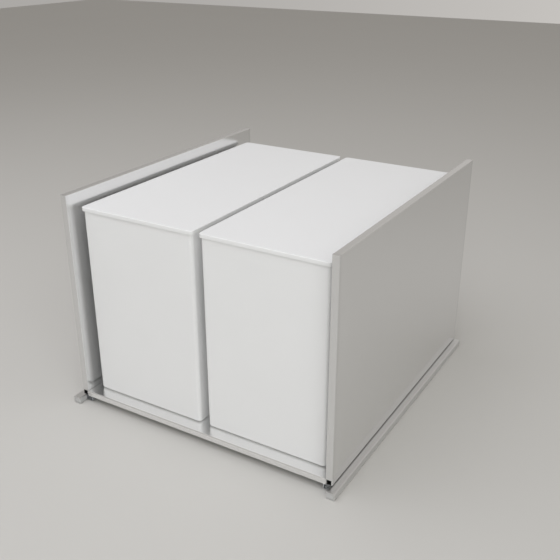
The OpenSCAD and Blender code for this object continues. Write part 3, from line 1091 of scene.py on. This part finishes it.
@dataclass
class BinLid:
    """One flat lid with a shallow rim and a rib that centres it, in millimetres.

    Attributes:
        below: The bin that it closes, on whose rim it lies.
        height: Height of its rim, with its top.
        wall: Thickness of its rim and rib.
        play: Play between the rib and the bin's walls.
        corner: Radius of its uprights.
        corner_faces: Faces across an upright's rounding.
        edge: Radius of its top edge.
        rim: Radius of its rim's lower edges.
        crown: How far the top rises in the middle.
        strips: Into how many strips the top is cut across and along, to rise smoothly.
    """

    below: LaundryBin
    height: float = 6.0
    wall: float = 1.6
    play: float = 0.5
    corner: float = 5.5
    corner_faces: int = 8
    edge: float = 1.2
    rim: float = 0.3
    crown: float = 0.3
    strips: tuple[int, int] = (8, 12)

    @cached_property
    def box(self) -> Box:
        """Return the box of the lid that it stands for."""
        return Box.of(f"lid_{self.below.side.word}")

    @property
    def seat(self) -> float:
        """Return the height of the bin's rim."""
        return self.below.box.high[2]

    def build(self) -> None:
        """Model the lid and fit it."""
        x, y, _ = self.box.middle
        width, length, _ = self.box.size
        low = self.box.high[2] - self.height
        bm = block((width, length, self.height), (x, y, low))
        open_end(bm, -1)
        bevel(bm, uprights(bm), self.corner, self.corner_faces)
        outer = set(bm.verts)
        bmesh.ops.solidify(bm, geom=bm.faces[:], thickness=self.wall)
        # The top comes out as thin as the rim, so its underside is lowered to the bin's rim.
        for vert in bm.verts:
            if vert not in outer and vert.co.z > self.seat + SLACK:
                vert.co.z = self.seat
        bevel(bm, max(bm.faces, key=lambda f: f.calc_center_median().z).edges, self.edge, 4)
        self.raise_crown(bm)
        bevel(bm, rim_edges(bm, -1, low), self.rim, 2)
        self.add_rib(bm)
        name = f"lid_{self.below.side.word}"
        fit(bm, name, name, LID_POLYPROPYLENE)

    def raise_crown(self, bm: bmesh.types.BMesh) -> None:
        """Raise the top a little towards its middle.

        Args:
            bm: The lid's mesh.
        """
        x, y, _ = self.box.middle
        half_w, half_l = self.box.size[0] / 2, self.box.size[1] / 2
        across, along = self.strips
        cut(bm, 0, steps(x - half_w, x + half_w, across))
        cut(bm, 1, steps(y - half_l, y + half_l, along))
        for vert in bm.verts:
            u, v = (vert.co.x - x) / half_w, (vert.co.y - y) / half_l
            if vert.co.z > self.box.high[2] - SLACK:
                vert.co.z += self.crown * (1 - u * u) * (1 - v * v)

    def add_rib(self, bm: bmesh.types.BMesh) -> None:
        """Add the rib that stands down inside the bin and reaches half into the top.

        Args:
            bm: The lid's mesh.
        """
        x, y, _ = self.box.middle
        foot, margin = self.box.low[2], self.below.wall + self.play
        width, length = (size - 2 * margin for size in self.below.box.size[:2])
        rib = block((width, length, (self.seat + self.box.high[2]) / 2 - foot), (x, y, foot))
        open_end(rib, 1)
        open_end(rib, -1)
        bevel(rib, uprights(rib), self.below.corner - margin, 6)
        bmesh.ops.solidify(rib, geom=rib.faces[:], thickness=self.wall)
        join(bm, rib)


@dataclass
class SidePanel:
    """One tall double-wall side of folded sheet, in millimetres.

    Attributes:
        side: Which side of the drawer it is.
        lift: How much higher its foot stands than the node's, which widens the slit over the rail.
        lip: Width of the two lips under the foot.
        sheet: Thickness of the sheet.
        fold: Outer radius of the folds.
    """

    side: Side
    lift: float = 1.1
    lip: float = 3.0
    sheet: float = 1.0
    fold: float = 0.8

    @cached_property
    def box(self) -> Box:
        """Return the box of the side that it stands for."""
        return Box.of(f"side_{self.side.word}")

    @property
    def foot(self) -> float:
        """Return the height of its foot."""
        return self.box.low[2] + self.lift

    def outline(self) -> list[tuple[float, float]]:
        """Return the section's outer line as distances and heights, round from foot to foot."""
        inner, outer = self.box.reach
        top = self.box.high[2]
        return [(inner, self.foot), (inner, top), (outer, top), (outer, self.foot)]

    def build(self) -> None:
        """Model the side and fit it."""
        bm = bmesh.new()
        inner, outer = self.box.reach
        lips = [(inner + self.lip, self.foot), (outer - self.lip, self.foot)]
        line = [lips[0], *self.outline(), lips[1]]
        row = [bm.verts.new((self.side.value * x, self.box.low[1], z)) for x, z in line]
        edges = [bm.edges.new(pair) for pair in zip(row, row[1:])]
        made = bmesh.ops.extrude_edge_only(bm, edges=edges)["geom"]
        far = [item for item in made if isinstance(item, bmesh.types.BMVert)]
        bmesh.ops.translate(bm, vec=Vector((0, self.box.size[1], 0)), verts=far)
        bevel(bm, [e for e in bm.edges if len(e.link_faces) == 2], self.fold, 4)
        # The sheet's thickness goes inwards, so its faces have to look outwards.
        skin = max(bm.faces, key=lambda f: f.calc_center_median().x * self.side.value)
        if skin.normal.x * self.side.value < 0:
            bmesh.ops.reverse_faces(bm, faces=bm.faces[:])
        bmesh.ops.solidify(bm, geom=bm.faces[:], thickness=self.sheet)
        fit(bm, f"side_{self.side.word}", "drawer", SILVER_LACQUER)


@dataclass
class SideCap:
    """One end cap of a side, with the hollow plug that holds it, in millimetres.

    Attributes:
        panel: The side that it closes.
        end: Which end it closes.
        edge: Radius of its edges.
        play: Gap between the plug and the sheet.
        clear: Height of the plug's underside over the socket.
        wall: Thickness of the plug's wall.
    """

    panel: SidePanel
    end: End
    edge: float = 0.35
    play: float = 0.15
    clear: float = 0.2
    wall: float = 1.5

    @property
    def node(self) -> str:
        """Return the name of the cap that it stands for."""
        return f"side_{self.end.word}_cap_{self.panel.side.word}"

    @cached_property
    def socket(self) -> Box:
        """Return the box of this side's front socket."""
        return Box.of(f"front_socket_{self.panel.side.word}")

    def build(self) -> None:
        """Model the cap and fit it."""
        sign, own, sheet = self.panel.side.value, Box.of(self.node), self.panel.box
        face, joint, tail = own.low[1], sheet.low[1], own.high[1]
        if self.end is End.REAR:
            face, joint, tail = own.high[1], sheet.high[1], own.low[1]
        bm = bmesh.new()
        line = self.panel.outline()
        seat = bm.faces.new([bm.verts.new((sign * x, joint, z)) for x, z in line])
        made = bmesh.ops.extrude_face_region(bm, geom=[seat])["geom"]
        moved = [item for item in made if isinstance(item, bmesh.types.BMVert)]
        bmesh.ops.translate(bm, vec=Vector((0, face - joint, 0)), verts=moved)
        bmesh.ops.recalc_face_normals(bm, faces=bm.faces[:])
        kept = {e for e in bm.edges if all(abs(v.co.y - joint) < SLACK for v in e.verts)}
        bevel(bm, [e for e in bm.edges if e not in kept], self.edge, 3)
        if self.end is End.FRONT:
            self.pierce(bm)
        self.add_plug(bm, joint, tail)
        # The cap's lacquer carries painted shade: a darker colour than the sides' silver.
        fit(bm, self.node, "drawer", CAP_LACQUER_PAINTED_SHADE)

    def pierce(self, bm: bmesh.types.BMesh) -> None:
        """Cut the square hole for the socket through the cap.

        Args:
            bm: The cap's mesh.
        """
        low, middle, high = self.socket.low, self.socket.middle, self.socket.high
        cut(bm, 0, (low[0], high[0]))
        cut(bm, 2, (low[2], high[2]))
        ends = []
        for face in bm.faces:
            at = face.calc_center_median()
            if abs(face.normal.y) > 0.99 and math.dist((at.x, at.z), (middle[0], middle[2])) < 1:
                ends.append(face)
        rims = [e for f in ends for e in f.edges]
        bmesh.ops.delete(bm, geom=ends, context="FACES_ONLY")
        bmesh.ops.bridge_loops(bm, edges=rims)
        bmesh.ops.recalc_face_normals(bm, faces=bm.faces[:])

    def add_plug(self, bm: bmesh.types.BMesh, joint: float, tail: float) -> None:
        """Add the hollow plug.

        Args:
            bm: The cap's mesh.
            joint: Where the cap meets the sheet.
            tail: Where the plug ends, inside the sheet.
        """
        (inner, outer), margin = self.panel.box.reach, self.panel.sheet + self.play
        head = joint + self.end.value * self.wall
        low, top = self.socket.high[2] + self.clear, self.panel.box.high[2] - margin
        size = (outer - inner - 2 * margin, abs(head - tail), top - low)
        tube = block(size, (self.panel.box.middle[0], (head + tail) / 2, low))
        mouths = [f for f in tube.faces if abs(f.normal.y) > 0.99]
        bmesh.ops.delete(tube, geom=mouths, context="FACES")
        bmesh.ops.solidify(tube, geom=tube.faces[:], thickness=self.wall)
        join(bm, tube)


@dataclass
class BlindRivets:
    """A row of blind rivets: a domed head with its mandrel's stub, and a folded tail.

    Attributes:
        side: Which side of the drawer they hold.
        stem: The node's name without its side.
        head: Radius of the head.
        dome: Height of the head.
        shank: Radius of the shank.
        bulge: How far the folded tail stands out of the joint.
    """

    side: Side
    stem: str
    head: float = 2.5
    dome: float = 0.9
    shank: float = 1.6
    bulge: float = 0.9

    def build(self, frame: dict) -> None:
        """Model the rivets, one for each solid of the node, and fit them.

        Args:
            frame: The loaded frame.
        """
        node = f"{self.stem}_{self.side.word}"
        nearest, farthest = Box.of(node).reach
        profile = self.profile(farthest - nearest - self.dome - self.bulge)
        inward = Matrix.Rotation(-self.side.value * math.pi / 2, 4, "Y")
        bm = bmesh.new()
        for middle in middles(frame, node):
            seat = Vector((self.side.value * (nearest + self.dome), middle.y, middle.z))
            join(bm, turned(profile, Matrix.Translation(seat) @ inward))
        fit(bm, node, "drawer", NICKEL_STEEL)

    def profile(self, grip: float) -> list[tuple[float, float]]:
        """Draw half of a rivet's section.

        Args:
            grip: Thickness of what the rivet holds.

        Returns:
            The radius of each point and its height over the head's seat.
        """
        mandrel = [(0, 0.45), (0.72, 0.42), (0.78, 0.55), (1.05, 0.84)]
        head = [(1.3, self.dome), (1.8, 0.74), (2.2, 0.46), (2.45, 0.16), (self.head, 0.0)]
        shank = [(self.shank, 0.0), (self.shank, -grip)]
        folds = [(2.05, 0.0), (2.0, 0.4), (1.7, 0.75), (1.2, 0.88), (0, self.bulge)]
        return mandrel + head + shank + [(radius, -grip - depth) for radius, depth in folds]


@dataclass
class TrayScrews:
    """Pan-head screws with a six-lobed recess that hold a drawer rail under the tray.

    Attributes:
        side: Which side of the drawer they hold.
        head: Radius of the head.
        rise: Height of the head.
        shank: Radius of the shank.
        recess: Radius of the recess with its lobes, and its depth.
        lobe: How far the recess swings in and out round its middle radius.
    """

    side: Side
    head: float = 3.75
    rise: float = 2.4
    shank: float = 2.0
    recess: tuple[float, float] = (1.7, 1.5)
    lobe: float = 0.2

    def build(self, frame: dict) -> None:
        """Model the screws, one for each solid of the node, and fit them.

        Args:
            frame: The loaded frame.
        """
        node = f"tray_screws_{self.side.word}"
        box = Box.of(node)
        recess = [(0, self.rise - self.recess[1]), (1.5, self.rise - self.recess[1]), (1.62, 2.3)]
        head = [(1.9, self.rise), (2.7, 2.34), (3.35, 1.95), (3.7, 1.2), (self.head, 0.3)]
        foot = self.rise - box.size[2]
        shank = [(3.65, 0), (self.shank, 0), (self.shank, foot + 0.5), (1.5, foot), (0, foot)]
        bm = bmesh.new()
        for middle in middles(frame, node):
            seat = Vector((box.middle[0], middle.y, box.low[2] + self.rise))
            down = Matrix.Translation(seat) @ Matrix.Rotation(math.pi, 4, "X")
            join(bm, turned(recess + head + shank, down, self.lobes))
        fit(bm, node, "drawer", NICKEL_STEEL)

    def lobes(self, radius: float, height: float, angle: float) -> float:
        """Draw the recess into six lobes.

        Args:
            radius: A point's radius.
            height: Its height over the head's seat.
            angle: Its angle round the screw.

        Returns:
            Its new radius.
        """
        inside = radius < self.recess[0] and height > 0
        return radius + (self.lobe * math.cos(6 * angle) if inside else 0.0)


def main() -> None:
    """Build and dress everything in order."""
    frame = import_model()
    Studio().build()
    DrawerBase().build(frame)
    for side in Side:
        BallRunner(side).build(frame)
        panel = SidePanel(side)
        panel.build()
        for end in End:
            SideCap(panel, end).build()
        dress(frame, f"front_socket_{side.word}", SOCKET_NYLON)
        laundry_bin = LaundryBin(side)
        laundry_bin.build()
        BinLid(laundry_bin).build()
        BlindRivets(side, "tray_rivets").build(frame)
        BlindRivets(side, "back_rivets").build(frame)
        TrayScrews(side).build(frame)


if __name__ == "__main__":
    logging.basicConfig(level=logging.INFO, format="%(name)s: %(message)s")
    main()
